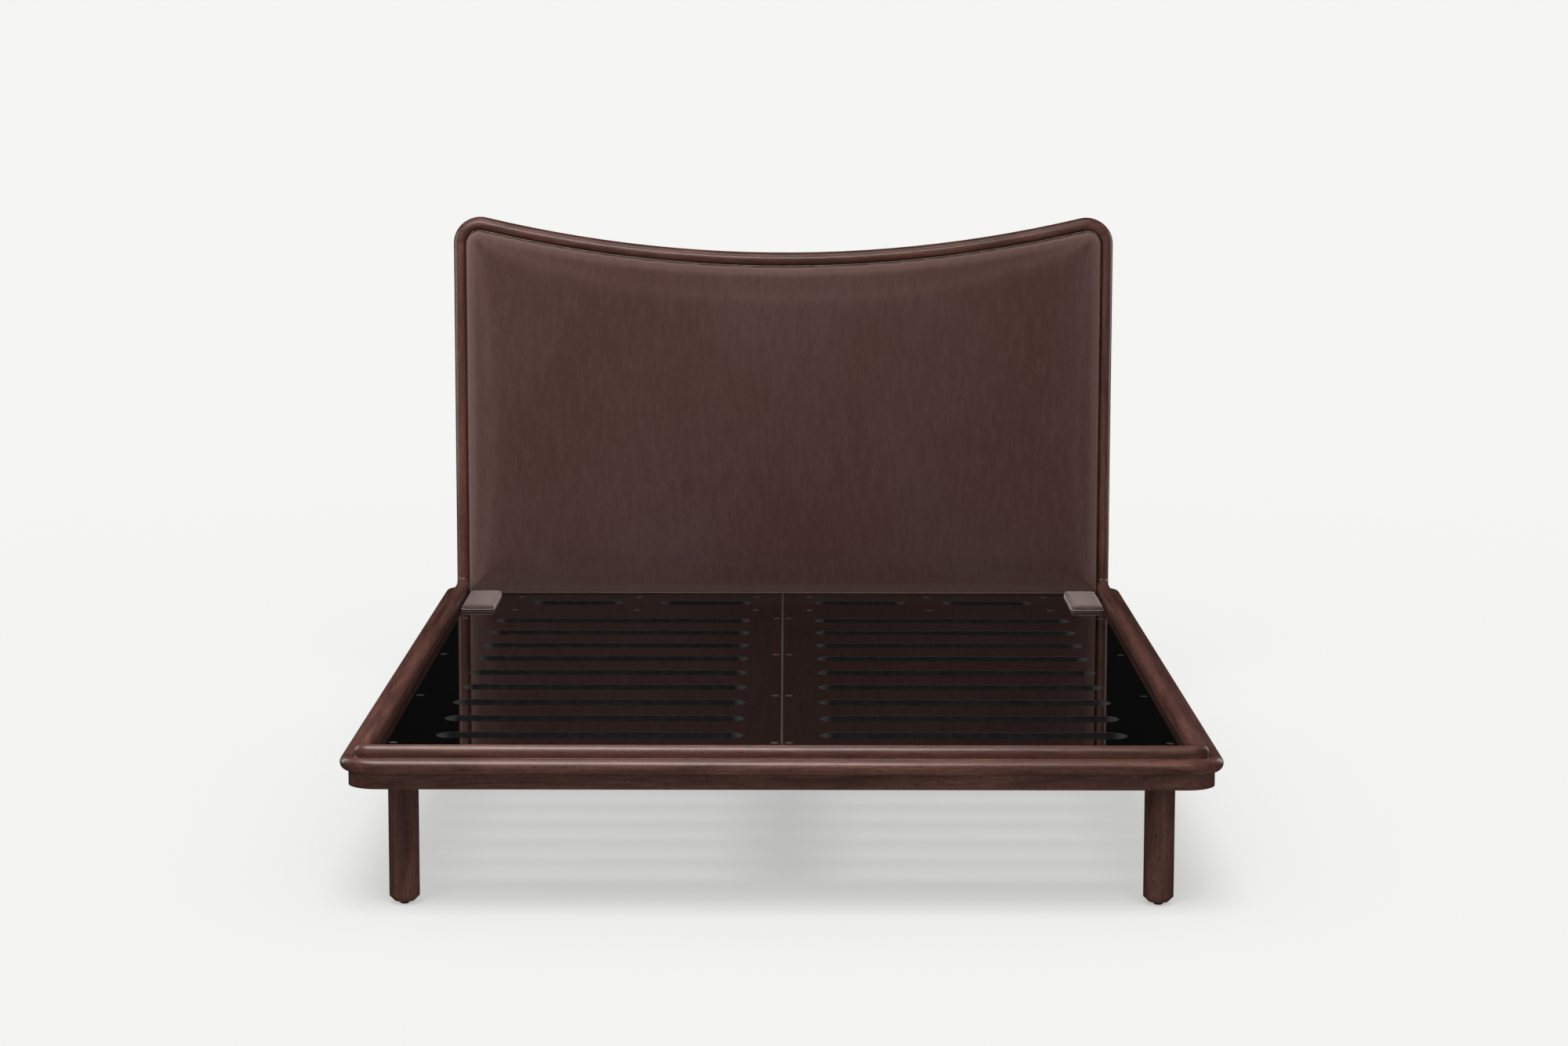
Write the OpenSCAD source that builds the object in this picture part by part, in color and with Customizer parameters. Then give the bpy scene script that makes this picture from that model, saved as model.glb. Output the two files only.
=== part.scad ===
// Low platform bed with an upholstered headboard whose top edge dips in the middle.
// Millimetres. The origin is on the floor under the middle of the bed, +Z is up, the head end is at +Y.

/* [Mattress recess] */
// Width of the mattress that the recess takes
mattress_w = 1524; // [1370:1:1700]
// Length of the mattress
mattress_l = 2032; // [1950:1:2100]
// Gap between the mattress and each side
side_gap = 14; // [8:1:20]
// Spare length between the foot and the headboard
end_gap = 20; // [10:1:30]

/* [Platform frame] */
// Width of the flat ledge and nose outside the bead
ledge_w = 29; // [24:1:36]
// Width of the raised bead round the recess
bead_w = 30; // [26:1:34]
// Height of the bead above the ledge
bead_rise = 23; // [20:1:30]
// Outer radius of the bead's corners at the foot
bead_corner_r = 32; // [32:1:40]
// Thickness of the rounded lip
lip_t = 28; // [24:1:30]
// Distance that the apron is set back under the lip
apron_set = 16; // [15:1:20]
// Height of the apron below the lip
apron_h = 29; // [26:1:36]
// Plan radius of the corners at the foot
foot_corner_r = 75; // [62:1:90]
// Plan radius of the corners at the head
head_corner_r = 45; // [36:1:56]
// Width of the rail that closes the frame behind the headboard
head_rail_w = 34; // [30:1:36]
// Width of the fine V groove at the bead's outer foot
quirk_w = 2.4; // [1:0.2:3]

/* [Deck] */
// Thickness of the slotted deck panels
deck_t = 18; // [15:1:21]
// Depth of the deck's top below the ledge
deck_drop = 8; // [4:1:10]
// Width of the ventilation slots
slot_w = 65; // [40:1:75]
// Number of long slots in each half
slot_count = 9; // [6:1:9]
// Chamfer along the slots and the centre seam
edge_chamfer = 0.6; // [0.5:0.1:1.5]
// Diameter of the flat heads of the deck bolts
bolt_head_d = 16; // [12:1:18]

/* [Headboard] */
// Height of the lowest point of the crest above the floor
crest_low = 1129; // [1000:1:1250]
// Radius of the crest's concave curve
crest_r = 3170; // [2800:10:3600]
// Outer radius of the headboard's upper corners
headboard_corner_r = 64; // [50:1:80]
// Depth of the headboard's frame from front to back
headboard_t = 42; // [40:1:46]
// Distance that the upholstery stands in front of the frame
pad_proud = 21; // [14:1:26]
// Gap between the upholstery and the frame
pad_gap = 1.5; // [0.5:0.5:6]
// Radius of the turn from the side bead up into the post
heel_r = 7; // [6:1:20]

/* [Legs] */
// Diameter of the corner legs
leg_d = 58; // [50:1:64]
// Length of the legs without their glides
leg_h = 235; // [180:1:280]
// Distance of the leg axes from the bed's sides
leg_inset = 115; // [110:1:120]
// Chamfer round the bottom of the legs
leg_chamfer = 10; // [6:1:12]
// Height of the levelling glides below the legs
glide_h = 6; // [5:1:10]
// Diameter of the glides' discs
glide_d = 18; // [18:1:24]
// Distance of the centre leg from the middle towards the head
centre_leg_y = 100; // [60:1:130]

/* [Hidden] */
$fn = 96;

// Clearances and small pieces
fit_gap = 0.15;
over = 1;
quirk_depth = 1.5;
back_round = 6;

// Plan
frame_w = ledge_w + bead_w;
rear_ledge = lip_t / 2;
bed_w = mattress_w + 2 * (side_gap + frame_w);
bed_l = frame_w + mattress_l + end_gap + pad_proud + headboard_t + rear_ledge;
side_x = bed_w / 2;
end_y = bed_l / 2;
bead_x = side_x - ledge_w;
inner_x = side_x - frame_w;
foot_inner_y = -end_y + frame_w;
board_back_y = end_y - rear_ledge;
board_front_y = board_back_y - headboard_t;
pad_front_y = board_front_y - pad_proud;
head_inner_y = end_y - head_rail_w;
heel_y = board_front_y - heel_r;

// Heights
apron_z = glide_h + leg_h;
lip_z = apron_z + apron_h;
ledge_z = lip_z + lip_t;
bead_z = ledge_z + bead_rise;
deck_z = ledge_z - deck_drop;
batten_z = deck_z - deck_t;
batten_low = apron_z + 3;
batten_h = batten_z - batten_low;
lip_r = lip_t / 2;
bead_r = bead_w / 2;

// Headboard outline in the XZ plane
corner_x = bead_x - headboard_corner_r;
crest_cz = crest_low + crest_r;
corner_reach = crest_r + headboard_corner_r;
corner_z = crest_cz - sqrt(corner_reach * corner_reach - corner_x * corner_x);
crest_angle = asin(corner_x / corner_reach);
corner_span = 1.4 * headboard_corner_r;

// Layers of the headboard from the back
back_panel_t = 6;
inner_rail_t = 18;
pad_board_t = 12;
cover_t = 2;
rail_back_y = board_back_y - back_panel_t;
rail_front_y = rail_back_y - inner_rail_t;
pad_board_front_y = rail_front_y - pad_board_t;
bracket_t = 3;
pad_low = deck_z + 0.5;
bottom_rail_h = 100;
middle_rail_z = 760;
middle_rail_h = 80;
inner_rail_mid_y = (rail_front_y + rail_back_y) / 2;

// Deck layout
seam_gap = 1;
deck_gap = 1.5;
cross_w = 60;
cross_front_y = head_inner_y - 296;
cross_rear_y = head_inner_y - 92;
slot_x0 = 76;
slot_x1 = inner_x - 101;
slot_y_first = foot_inner_y + 239;
slot_y_last = cross_front_y - 156;
slot_pitch = (slot_y_last - slot_y_first) / (slot_count - 1);
short_slot_w = 62;
short_slot_y = cross_front_y + 112;
short_slots = [[77, 296], [389, 605]];
bolt_y_first = foot_inner_y + 164;
bolt_y_last = cross_front_y - 123;
bolt_step = (bolt_y_last - bolt_y_first) / 3;
seam_bolt_x = 14;
edge_bolt_x = inner_x - 25;
row_bolt_x = [64, 351, 640];

// Headboard brackets and the pads over them
bracket_x = inner_x - 45.5;
bracket_w = 48;
bracket_y0 = cross_front_y;
bracket_foam_gap = 2;
bracket_plate_gap = 0.4;
bracket_wall_gap = 0.2;
bracket_pad_gap = 0.3;
bracket_top = deck_z + 130;
bracket_pad_w = 81;
bracket_pad_l = 250;
bracket_pad_h = 13;
bracket_cover_t = 1.5;
bracket_pad_y0 = cross_front_y - 12;

// Battens, blocks and legs
cleat_w = 36;
beam_w = 60;
beam_gap = 0.2;
block_w = 112;
leg_r = leg_d / 2;
leg_x = side_x - leg_inset;
leg_y = end_y - leg_inset + 3;
block_x = inner_x - block_w;
block_y = -foot_inner_y - block_w;
centre_leg_r = 22;
centre_chamfer = 7;
stem_r = 4.9;
stem_top = 40;
insert_r = 7;
insert_top = 36;
glide_gap = 0.2;
leg_bolt_low = apron_z - 60;
leg_bolt_top = batten_z - 6;
leg_insert_r = 8;
stem_slack = 0.1;

// Dowels, screws, bolts and inserts
dowel_r = 5;
dowel_l = 40;
dowel_z = [apron_z + 13, lip_z + 16];
board_dowel_r = 4;
board_dowel_l = 36;
board_dowel_z = [ledge_z + 42, ledge_z + 80, middle_rail_z + 20, middle_rail_z + 60];
back_screw_r = 2;
back_screw_l = 20;
back_screw_x = [120, 360, 600];
back_screw_z = [ledge_z + 25, middle_rail_z + middle_rail_h / 2];
pad_screw_r = 2.5;
pad_screw_l = 27;
pad_screw_x = [0, 240, 480];
pad_screw_z = [ledge_z + 70, middle_rail_z + middle_rail_h / 2];
headboard_bolt_r = 4;
headboard_bolt_l = 80;
headboard_bolt_y = board_front_y + 19;
headboard_bolt_head_r = 7;
headboard_bolt_head_h = 4;
bracket_screw_r = 2.5;
bracket_deck_l = 34;
bracket_wall_l = 17;
bracket_deck_y = [cross_front_y + 20, leg_y - 24];
bracket_wall_z = [ledge_z + 40, ledge_z + 85];
deck_bolt_r = 3;
deck_bolt_l = 38;
deck_bolt_head = 2;
deck_socket_d = 4.6;
deck_socket_depth = 1.6;
deck_insert_r = 5;
deck_insert_l = 16;
cleat_screw_r = 2.5;
cleat_screw_l = 50;
cleat_screw_z = batten_low + 12;
side_cleat_screw_count = 5;
side_cleat_screw_end = 160;
foot_cleat_screw_x = [180, 500];
angle_l = 30;
angle_short_l = 14;
angle_t = 2.5;
angle_h = 22;
block_bolt_r = 3;
block_bolt_l = 110;
block_bolt_sink = 26;
block_bolt_head_r = 5;
block_bolt_head_h = 5;
block_bolt_y = [-block_y - 22, block_y + 22, block_y + 87];
side_block_bolt_z = batten_z - 9;
foot_block_bolt_z = apron_z + 9;

// ---- Sections and fasteners ----

// Half disc above the X axis
module half_disc(r) {
  intersection() {
    circle(r);
    translate([-r, 0]) square([2 * r, r]);
  }
}

// Rounded bead section that stands on the X axis
module bead_section(depth) {
  square([bead_w, depth - bead_r]);
  translate([bead_r, depth - bead_r]) half_disc(bead_r);
}

// Corner waste outside a quarter circle, with the sharp corner at the origin
module corner_waste(r) {
  difference() {
    translate([-over, -over]) square(r + over);
    translate([r, r]) circle(r);
  }
}

// Section of the headboard's frame, with its back on the X axis
module post_section() {
  difference() {
    bead_section(headboard_t);
    corner_waste(back_round);
    translate([bead_w, 0]) mirror([1, 0]) corner_waste(back_round);
  }
}

// Rail section, X inward from the lip's edge and Y up; groove cuts the fine line beside the bead
module rail_section(w, groove) {
  g = groove ? quirk_depth : 0;
  polygon([
    [lip_r, lip_z], [apron_set, lip_z], [apron_set, apron_z], [w, apron_z], [w, ledge_z],
    if (groove) [ledge_w, ledge_z],
    if (groove) [ledge_w - quirk_w / 2, ledge_z - g],
    if (groove) [ledge_w - quirk_w, ledge_z],
    [lip_r, ledge_z]
  ]);
  translate([lip_r, lip_z + lip_r]) rotate(90) half_disc(lip_r);
}

// Runs a section along +X from x0 for a length, with the section's X towards +Y
module run_x(x0, y, length) {
  translate([x0, y, 0]) rotate([90, 0, 90]) linear_extrude(length) children();
}

// Runs a section along Y from y0 to y1, with the section's X towards +X
module run_y(x, y0, y1) {
  translate([x, y1, 0]) rotate([90, 0, 0]) linear_extrude(y1 - y0) children();
}

// Upright slab whose outline is drawn in XZ, between two depths
module slab(y0, y1) {
  translate([0, y1, 0]) rotate([90, 0, 0]) linear_extrude(y1 - y0) children();
}

// Right-hand copy of a left-hand part
module right() {
  mirror([1, 0, 0]) children();
}

// Part at both sides
module both() {
  children();
  right() children();
}

// Round bar along an axis: "x", "y" or "z", centred on the origin
module bar(axis, r, length) {
  turn = axis == "x" ? [0, 90, 0] : axis == "y" ? [90, 0, 0] : [0, 0, 0];
  rotate(turn) cylinder(r = r, h = length, center = true);
}

// Countersunk screw that hangs down from the origin
module screw(r, length) {
  head = 2 * r;
  translate([0, 0, -length]) cylinder(r = r, h = length - head + r);
  translate([0, 0, -head + r]) cylinder(r1 = r, r2 = head, h = head - r);
}

// Hole for such a screw
module screw_hole(r, length) {
  screw(r + fit_gap, length + fit_gap);
}

// ---- Platform frame ----

module side_rail() {
  color("#3f2a26") difference() {
    run_y(-side_x, -end_y + foot_corner_r, heel_y) rail_section(frame_w, true);
    corner_dowel_places() dowel_hole();
    side_block_bolts() block_bolt_hole();
    side_cleat_screws() screw_hole(cleat_screw_r, cleat_screw_l);
  }
}

module side_rail_left() {
  side_rail();
}

module side_rail_right() {
  right() side_rail();
}

module foot_rail() {
  color("#4a322d") difference() {
    run_x(-side_x + foot_corner_r, -end_y, bed_w - 2 * foot_corner_r) rail_section(frame_w, true);
    both() corner_dowel_places() dowel_hole();
    both() foot_block_bolts() block_bolt_hole();
    foot_cleat_screws() screw_hole(cleat_screw_r, cleat_screw_l);
  }
}

module head_rail() {
  color("#3f2a26") difference() {
    mirror([0, 1, 0]) run_x(-inner_x, -end_y, 2 * inner_x) rail_section(head_rail_w, false);
    both() corner_dowel_places() dowel_hole();
  }
}

// Rail section turned about a corner of radius r, between two angles
module rail_corner(x, y, r, start) {
  translate([x, y, 0]) rotate_extrude(angle = 90, start = start)
    translate([r, 0]) mirror([1, 0]) rail_section(r, false);
}

module foot_corner() {
  bead_cx = -bead_x + bead_corner_r;
  bead_cy = -end_y + ledge_w + bead_corner_r;
  tail = foot_corner_r;
  color("#45302b") difference() {
    rail_corner(-side_x + foot_corner_r, -end_y + foot_corner_r, foot_corner_r, 180);
    translate([-inner_x, foot_inner_y, apron_z - over])
      cube([foot_corner_r, foot_corner_r, ledge_z - apron_z + 2 * over]);
    translate([bead_cx, bead_cy, 0]) rotate_extrude(angle = 90, start = 180)
      translate([bead_corner_r, 0]) quirk_cut();
    run_x(bead_cx, -end_y + ledge_w, tail) mirror([1, 0]) quirk_cut();
    run_y(-bead_x, bead_cy, bead_cy + tail) mirror([1, 0]) quirk_cut();
    corner_dowel_places() dowel_hole();
  }
}

// Triangle that cuts the fine groove, with the bead's side on the Y axis
module quirk_cut() {
  polygon([[0, ledge_z + over], [0, ledge_z], [quirk_w / 2, ledge_z - quirk_depth],
           [quirk_w, ledge_z], [quirk_w, ledge_z + over]]);
}

module foot_corner_left() {
  foot_corner();
}

module foot_corner_right() {
  right() foot_corner();
}

module head_corner() {
  cx = -side_x + head_corner_r;
  cy = end_y - head_corner_r;
  color("#3f2a26") difference() {
    union() {
      run_y(-side_x, heel_y, cy) rail_section(frame_w, true);
      rail_corner(cx, cy, head_corner_r, 90);
      mirror([0, 1, 0]) run_x(cx, -end_y, -inner_x - cx) rail_section(head_corner_r, false);
    }
    corner_dowel_places() dowel_hole();
    headboard_bolt_places() headboard_bolt_hole();
  }
}

module head_corner_left() {
  head_corner();
}

module head_corner_right() {
  right() head_corner();
}

// The bead's section, standing on the ledge
module bead_on_ledge() {
  translate([0, ledge_z]) bead_section(bead_rise);
}

module foot_bead() {
  cx = bead_x - bead_corner_r;
  cy = -end_y + ledge_w + bead_corner_r;
  color("#6b4a41") {
    run_x(-cx, -end_y + ledge_w, 2 * cx) bead_on_ledge();
    both() translate([-cx, cy, 0]) rotate_extrude(angle = 90, start = 180)
      translate([bead_corner_r - bead_w, 0]) bead_on_ledge();
  }
}

module side_bead() {
  color("#5c3f38") run_y(-bead_x, -end_y + ledge_w + bead_corner_r, heel_y) bead_on_ledge();
}

module side_bead_left() {
  side_bead();
}

module side_bead_right() {
  right() side_bead();
}

// Dowels that join the rails to the corner blocks, left half
module corner_dowel_places() {
  rail_mid = (apron_set + frame_w) / 2;
  for (z = dowel_z) {
    translate([-side_x + foot_corner_r, -end_y + rail_mid, z]) rotate([0, 0, 90]) children();
    translate([-side_x + rail_mid, -end_y + foot_corner_r, z]) children();
    translate([-side_x + rail_mid, heel_y, z]) children();
    translate([-inner_x, end_y - (apron_set + head_rail_w) / 2, z]) rotate([0, 0, 90]) children();
  }
}

module dowel_hole() {
  bar("y", dowel_r + fit_gap, dowel_l + 2 * fit_gap);
}

module corner_dowels() {
  color("#c9a77a") both() corner_dowel_places() bar("y", dowel_r, dowel_l);
}

// ---- Headboard ----

// Region inside the headboard's outer outline by d, from the height z0 up, drawn in XZ
module board_outline(d, z0) {
  difference() {
    translate([-bead_x + d, z0]) square([2 * (bead_x - d), corner_z + corner_span - z0]);
    translate([0, crest_cz]) circle(crest_r + d, $fn = 720);
    shoulder_waste(d);
    mirror([1, 0]) shoulder_waste(d);
  }
}

// Waste outside the round upper corner at the left of the outline
module shoulder_waste(d) {
  top = corner_z + corner_span;
  difference() {
    polygon([
      [-corner_x, corner_z], [-corner_x + corner_span * tan(crest_angle), top],
      [-side_x, top], [-side_x, corner_z]
    ]);
    translate([-corner_x, corner_z]) circle(headboard_corner_r - d);
  }
}

module headboard_post() {
  turn_z = bead_z + heel_r;
  turn_r = heel_r + bead_r;
  color("#4a322d") difference() {
    union() {
      translate([-bead_x, board_back_y, turn_z]) mirror([0, 1, 0])
        linear_extrude(corner_z - turn_z) post_section();
      difference() {
        translate([-bead_x, board_back_y, ledge_z]) mirror([0, 1, 0])
          linear_extrude(turn_z - ledge_z) heel_plan();
        translate([-bead_x + bead_r, heel_y, turn_z]) bar("x", turn_r, bead_w + 2 * over);
      }
      translate([-bead_x + bead_r, heel_y, turn_z]) rotate([0, 90, 0])
        rotate_extrude(angle = 90) translate([turn_r, 0]) rotate(90) half_disc(bead_r);
    }
    headboard_dowel_places() headboard_dowel_hole();
    headboard_bolt_places() headboard_bolt_hole();
  }
}

// Plan of the post's heel, with its back on the X axis
module heel_plan() {
  difference() {
    square([bead_w, board_back_y - heel_y]);
    corner_waste(back_round);
    translate([bead_w, 0]) mirror([1, 0]) corner_waste(back_round);
  }
}

module headboard_post_left() {
  headboard_post();
}

module headboard_post_right() {
  right() headboard_post();
}

module headboard_corner() {
  color("#563b34") difference() {
    translate([-corner_x, board_back_y, corner_z]) rotate([90, 0, 0])
      rotate_extrude(angle = 90 + crest_angle, start = 90 - crest_angle)
        translate([headboard_corner_r - bead_w, 0]) post_section();
    headboard_dowel_places() headboard_dowel_hole();
  }
}

module headboard_corner_left() {
  headboard_corner();
}

module headboard_corner_right() {
  right() headboard_corner();
}

module crest_rail() {
  color("#5c3f38") difference() {
    translate([0, board_back_y, crest_cz]) rotate([90, 0, 0])
      rotate_extrude(angle = 2 * crest_angle, start = 270 - crest_angle, $fn = 720)
        translate([crest_r, 0]) post_section();
    both() headboard_dowel_places() headboard_dowel_hole();
  }
}

module inner_rail(z, h) {
  color("#8a6a4c") difference() {
    translate([-inner_x, rail_front_y, z]) cube([2 * inner_x, inner_rail_t, h]);
    both() headboard_dowel_places() headboard_dowel_hole();
    pad_screw_places() screw_hole(pad_screw_r, pad_screw_l);
    back_screw_places() screw_hole(back_screw_r, back_screw_l);
    both() bracket_wall_places() screw_hole(bracket_screw_r, bracket_wall_l);
  }
}

module headboard_bottom_rail() {
  inner_rail(ledge_z, bottom_rail_h);
}

module headboard_middle_rail() {
  inner_rail(middle_rail_z, middle_rail_h);
}

// Dowels of the headboard's frame, left half: post to corner, corner to crest, posts to inner rails
module headboard_dowel_places() {
  mid_r = headboard_corner_r - bead_r;
  mid_y = board_back_y - headboard_t / 2;
  for (a = [90 - crest_angle, 180])
    translate([-corner_x + mid_r * cos(a), mid_y, corner_z + mid_r * sin(a)]) rotate([0, -a, 0])
      children();
  for (z = board_dowel_z)
    translate([-inner_x, inner_rail_mid_y, z]) rotate([0, 90, 0]) children();
}

module headboard_dowel_hole() {
  bar("z", board_dowel_r + fit_gap, board_dowel_l + 2 * fit_gap);
}

module headboard_dowels() {
  color("#c9a77a") both() headboard_dowel_places() bar("z", board_dowel_r, board_dowel_l);
}

module headboard_back_panel() {
  color("#4a322d") difference() {
    slab(rail_back_y, board_back_y) board_outline(bead_w + fit_gap, ledge_z + 0.5);
    back_screw_places() screw_hole(back_screw_r, back_screw_l);
  }
}

module back_screw_places() {
  for (z = back_screw_z, x = back_screw_x, side = [-1, 1])
    translate([side * x, board_back_y, z]) rotate([-90, 0, 0]) children();
}

module back_panel_screws() {
  color("#2b2320") back_screw_places() screw(back_screw_r, back_screw_l);
}

module headboard_pad_board() {
  color("#b08a5e") difference() {
    slab(pad_board_front_y, rail_front_y) board_outline(bead_w + pad_gap + cover_t, pad_low + cover_t);
    both() bracket_pocket();
    pad_screw_places() screw_hole(pad_screw_r, pad_screw_l);
  }
}

module headboard_foam() {
  color("#d8cfa8") difference() {
    slab(pad_front_y + cover_t, pad_board_front_y)
      board_outline(bead_w + pad_gap + cover_t, pad_low + cover_t);
    both() bracket_pocket();
  }
}

module headboard_cover() {
  color("#5a4540") difference() {
    slab(pad_front_y, rail_front_y - 0.5) board_outline(bead_w + pad_gap, pad_low);
    slab(pad_front_y + cover_t, rail_front_y) board_outline(bead_w + pad_gap + cover_t, pad_low + cover_t);
    both() bracket_pocket();
  }
}

// Room for a bracket's upright in the back of the upholstered panel, and for its plate under the panel
module bracket_pocket() {
  pocket_w = bracket_w + 2 * bracket_foam_gap;
  translate([-bracket_x - pocket_w / 2, 0, deck_z]) {
    translate([0, rail_front_y - bracket_t - bracket_wall_gap, 0])
      cube([pocket_w, bracket_t + over, bracket_top - deck_z + 2 * bracket_foam_gap]);
    translate([0, pad_front_y - over, 0])
      cube([pocket_w, rail_front_y - pad_front_y + over, bracket_t + bracket_plate_gap]);
  }
}

// Screws from the inner rails into the upholstered panel's board
module pad_screw_places() {
  for (z = pad_screw_z, x = pad_screw_x, side = x > 0 ? [-1, 1] : [1])
    translate([side * x, rail_back_y, z]) rotate([-90, 0, 0]) children();
}

module pad_screws() {
  color("#8f8f8f") pad_screw_places() screw(pad_screw_r, pad_screw_l);
}

// Upright bolts from the head corner blocks into the posts
module headboard_bolt_places() {
  translate([-bead_x + bead_r, headboard_bolt_y, apron_z]) children();
}

module headboard_bolt(gap) {
  cylinder(r = headboard_bolt_r + gap, h = headboard_bolt_l + gap);
  cylinder(r = headboard_bolt_head_r + gap, h = headboard_bolt_head_h + gap);
}

module headboard_bolt_hole() {
  headboard_bolt(fit_gap);
  translate([0, 0, -over]) cylinder(r = headboard_bolt_head_r + fit_gap, h = 2 * over);
}

module headboard_bolts() {
  color("#8f8f8f") both() headboard_bolt_places() headboard_bolt(0);
}

// ---- Headboard brackets and their pads ----

module bracket_deck_places() {
  for (y = bracket_deck_y)
    translate([-bracket_x, y, deck_z + bracket_t]) children();
}

module bracket_wall_places() {
  for (z = bracket_wall_z)
    translate([-bracket_x, rail_front_y - bracket_t, z]) rotate([90, 0, 0]) children();
}

module bracket() {
  color("#3a3a3c") difference() {
    translate([-bracket_x - bracket_w / 2, 0, deck_z]) union() {
      translate([0, bracket_y0, 0]) cube([bracket_w, rail_front_y - bracket_y0, bracket_t]);
      translate([0, rail_front_y - bracket_t, 0]) cube([bracket_w, bracket_t, bracket_top - deck_z]);
    }
    bracket_deck_places() screw_hole(bracket_screw_r, bracket_deck_l);
    bracket_wall_places() screw_hole(bracket_screw_r, bracket_wall_l);
  }
}

module bracket_left() {
  bracket();
}

module bracket_right() {
  right() bracket();
}

module bracket_screws() {
  color("#8f8f8f") both() {
    bracket_deck_places() screw(bracket_screw_r, bracket_deck_l);
    bracket_wall_places() screw(bracket_screw_r, bracket_wall_l);
  }
}

// Block of the bracket's pad, smaller than its cover by d on every face but the bottom
module bracket_pad_block(d) {
  translate([-bracket_x - bracket_pad_w / 2 + d, bracket_pad_y0 + d, deck_z])
    cube([bracket_pad_w - 2 * d, bracket_pad_l - 2 * d, bracket_pad_h - d]);
}

// Channel under the pad for the bracket's plate
module bracket_channel() {
  channel_w = bracket_w + 2 * bracket_plate_gap;
  translate([-bracket_x - channel_w / 2, bracket_y0 - bracket_plate_gap, deck_z - over])
    cube([channel_w, bracket_pad_l, bracket_t + bracket_pad_gap + over]);
}

module bracket_foams() {
  color("#d8cfa8") both() difference() {
    bracket_pad_block(bracket_cover_t);
    bracket_channel();
  }
}

module bracket_cover() {
  color("#84716b") difference() {
    bracket_pad_block(0);
    translate([0, 0, -over]) bracket_pad_block(bracket_cover_t);
    bracket_pad_block(bracket_cover_t);
    bracket_channel();
  }
}

module bracket_cover_left() {
  bracket_cover();
}

module bracket_cover_right() {
  right() bracket_cover();
}

// ---- Deck ----

// Through slot with round ends and a chamfered top edge, from x0 to x1 on the line y
module slot(x0, x1, y, w) {
  r = w / 2;
  c = edge_chamfer;
  low = batten_z - over;
  side = [[0, low], [r, low], [r, deck_z - c], [r + c + over, deck_z + over], [0, deck_z + over]];
  mirrored = [for (i = [len(side) - 1 : -1 : 0]) [-side[i][0], side[i][1]]];
  translate([x0 + r, y, 0]) rotate([90, 0, 90]) linear_extrude(x1 - x0 - w)
    polygon(concat(side, [for (p = mirrored) if (p[0] < 0) p]));
  translate([x0 + r, y, 0]) rotate_extrude(angle = 180, start = 90) polygon(side);
  translate([x1 - r, y, 0]) rotate_extrude(angle = 180, start = 270) polygon(side);
}

module deck_right_half() {
  color("#1b1213") difference() {
    run_y(0, foot_inner_y + deck_gap, head_inner_y - deck_gap) polygon([
      [seam_gap / 2, batten_z], [inner_x - deck_gap, batten_z], [inner_x - deck_gap, deck_z],
      [seam_gap / 2 + edge_chamfer, deck_z], [seam_gap / 2, deck_z - edge_chamfer]
    ]);
    for (i = [0 : slot_count - 1]) slot(slot_x0, slot_x1, slot_y_first + i * slot_pitch, slot_w);
    for (s = short_slots) slot(s[0], s[1], short_slot_y, short_slot_w);
    deck_bolt_places() deck_bolt_hole();
    right() bracket_deck_places() screw_hole(bracket_screw_r, bracket_deck_l);
  }
}

module deck_right() {
  deck_right_half();
}

module deck_left() {
  right() deck_right_half();
}

// Flat-headed bolts of the right half of the deck
module deck_bolt_places() {
  for (i = [0 : 3], x = [seam_bolt_x, edge_bolt_x])
    translate([x, bolt_y_first + i * bolt_step, deck_z]) children();
  for (x = row_bolt_x, y = [cross_front_y, cross_rear_y])
    translate([x, y, deck_z]) children();
}

module deck_bolt_hole() {
  translate([0, 0, -deck_bolt_head]) cylinder(d = bolt_head_d + 2 * fit_gap, h = deck_bolt_head + over);
  translate([0, 0, -deck_t - over]) cylinder(r = deck_bolt_r + fit_gap, h = deck_t + over);
}

// Blind hole in a batten for a threaded insert, with room for the bolt's tip
module deck_insert_hole() {
  translate([0, 0, -deck_t - deck_insert_l - fit_gap])
    cylinder(r = deck_insert_r + fit_gap, h = deck_insert_l + fit_gap + over);
  translate([0, 0, -deck_bolt_l - 2]) cylinder(r = deck_bolt_r + fit_gap, h = deck_bolt_l);
}

module deck_bolts() {
  color("#9a9694") both() deck_bolt_places() difference() {
    union() {
      translate([0, 0, -deck_bolt_head]) cylinder(d = bolt_head_d, h = deck_bolt_head);
      translate([0, 0, -deck_bolt_l]) cylinder(r = deck_bolt_r, h = deck_bolt_l - deck_bolt_head);
    }
    translate([0, 0, -deck_socket_depth]) cylinder(d = deck_socket_d, h = deck_bolt_head, $fn = 6);
  }
}

module deck_bolt_inserts() {
  color("#b59a5a") both() deck_bolt_places() difference() {
    translate([0, 0, -deck_t - deck_insert_l]) cylinder(r = deck_insert_r, h = deck_insert_l - fit_gap);
    translate([0, 0, -deck_t - deck_insert_l - over])
      cylinder(r = deck_bolt_r + fit_gap / 2, h = deck_insert_l + 2 * over);
  }
}

// ---- Battens under the deck ----

module side_cleat_screws() {
  step = 2 * (block_y - side_cleat_screw_end) / (side_cleat_screw_count - 1);
  for (i = [0 : side_cleat_screw_count - 1])
    translate([-inner_x + cleat_w, -block_y + side_cleat_screw_end + i * step, cleat_screw_z])
      rotate([0, 90, 0]) children();
}

module foot_cleat_screws() {
  for (x = foot_cleat_screw_x, side = [-1, 1])
    translate([side * x, foot_inner_y + cleat_w, cleat_screw_z]) rotate([-90, 0, 0]) children();
}

module cleat_screws() {
  color("#8f8f8f") {
    both() side_cleat_screws() screw(cleat_screw_r, cleat_screw_l);
    foot_cleat_screws() screw(cleat_screw_r, cleat_screw_l);
  }
}

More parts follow.
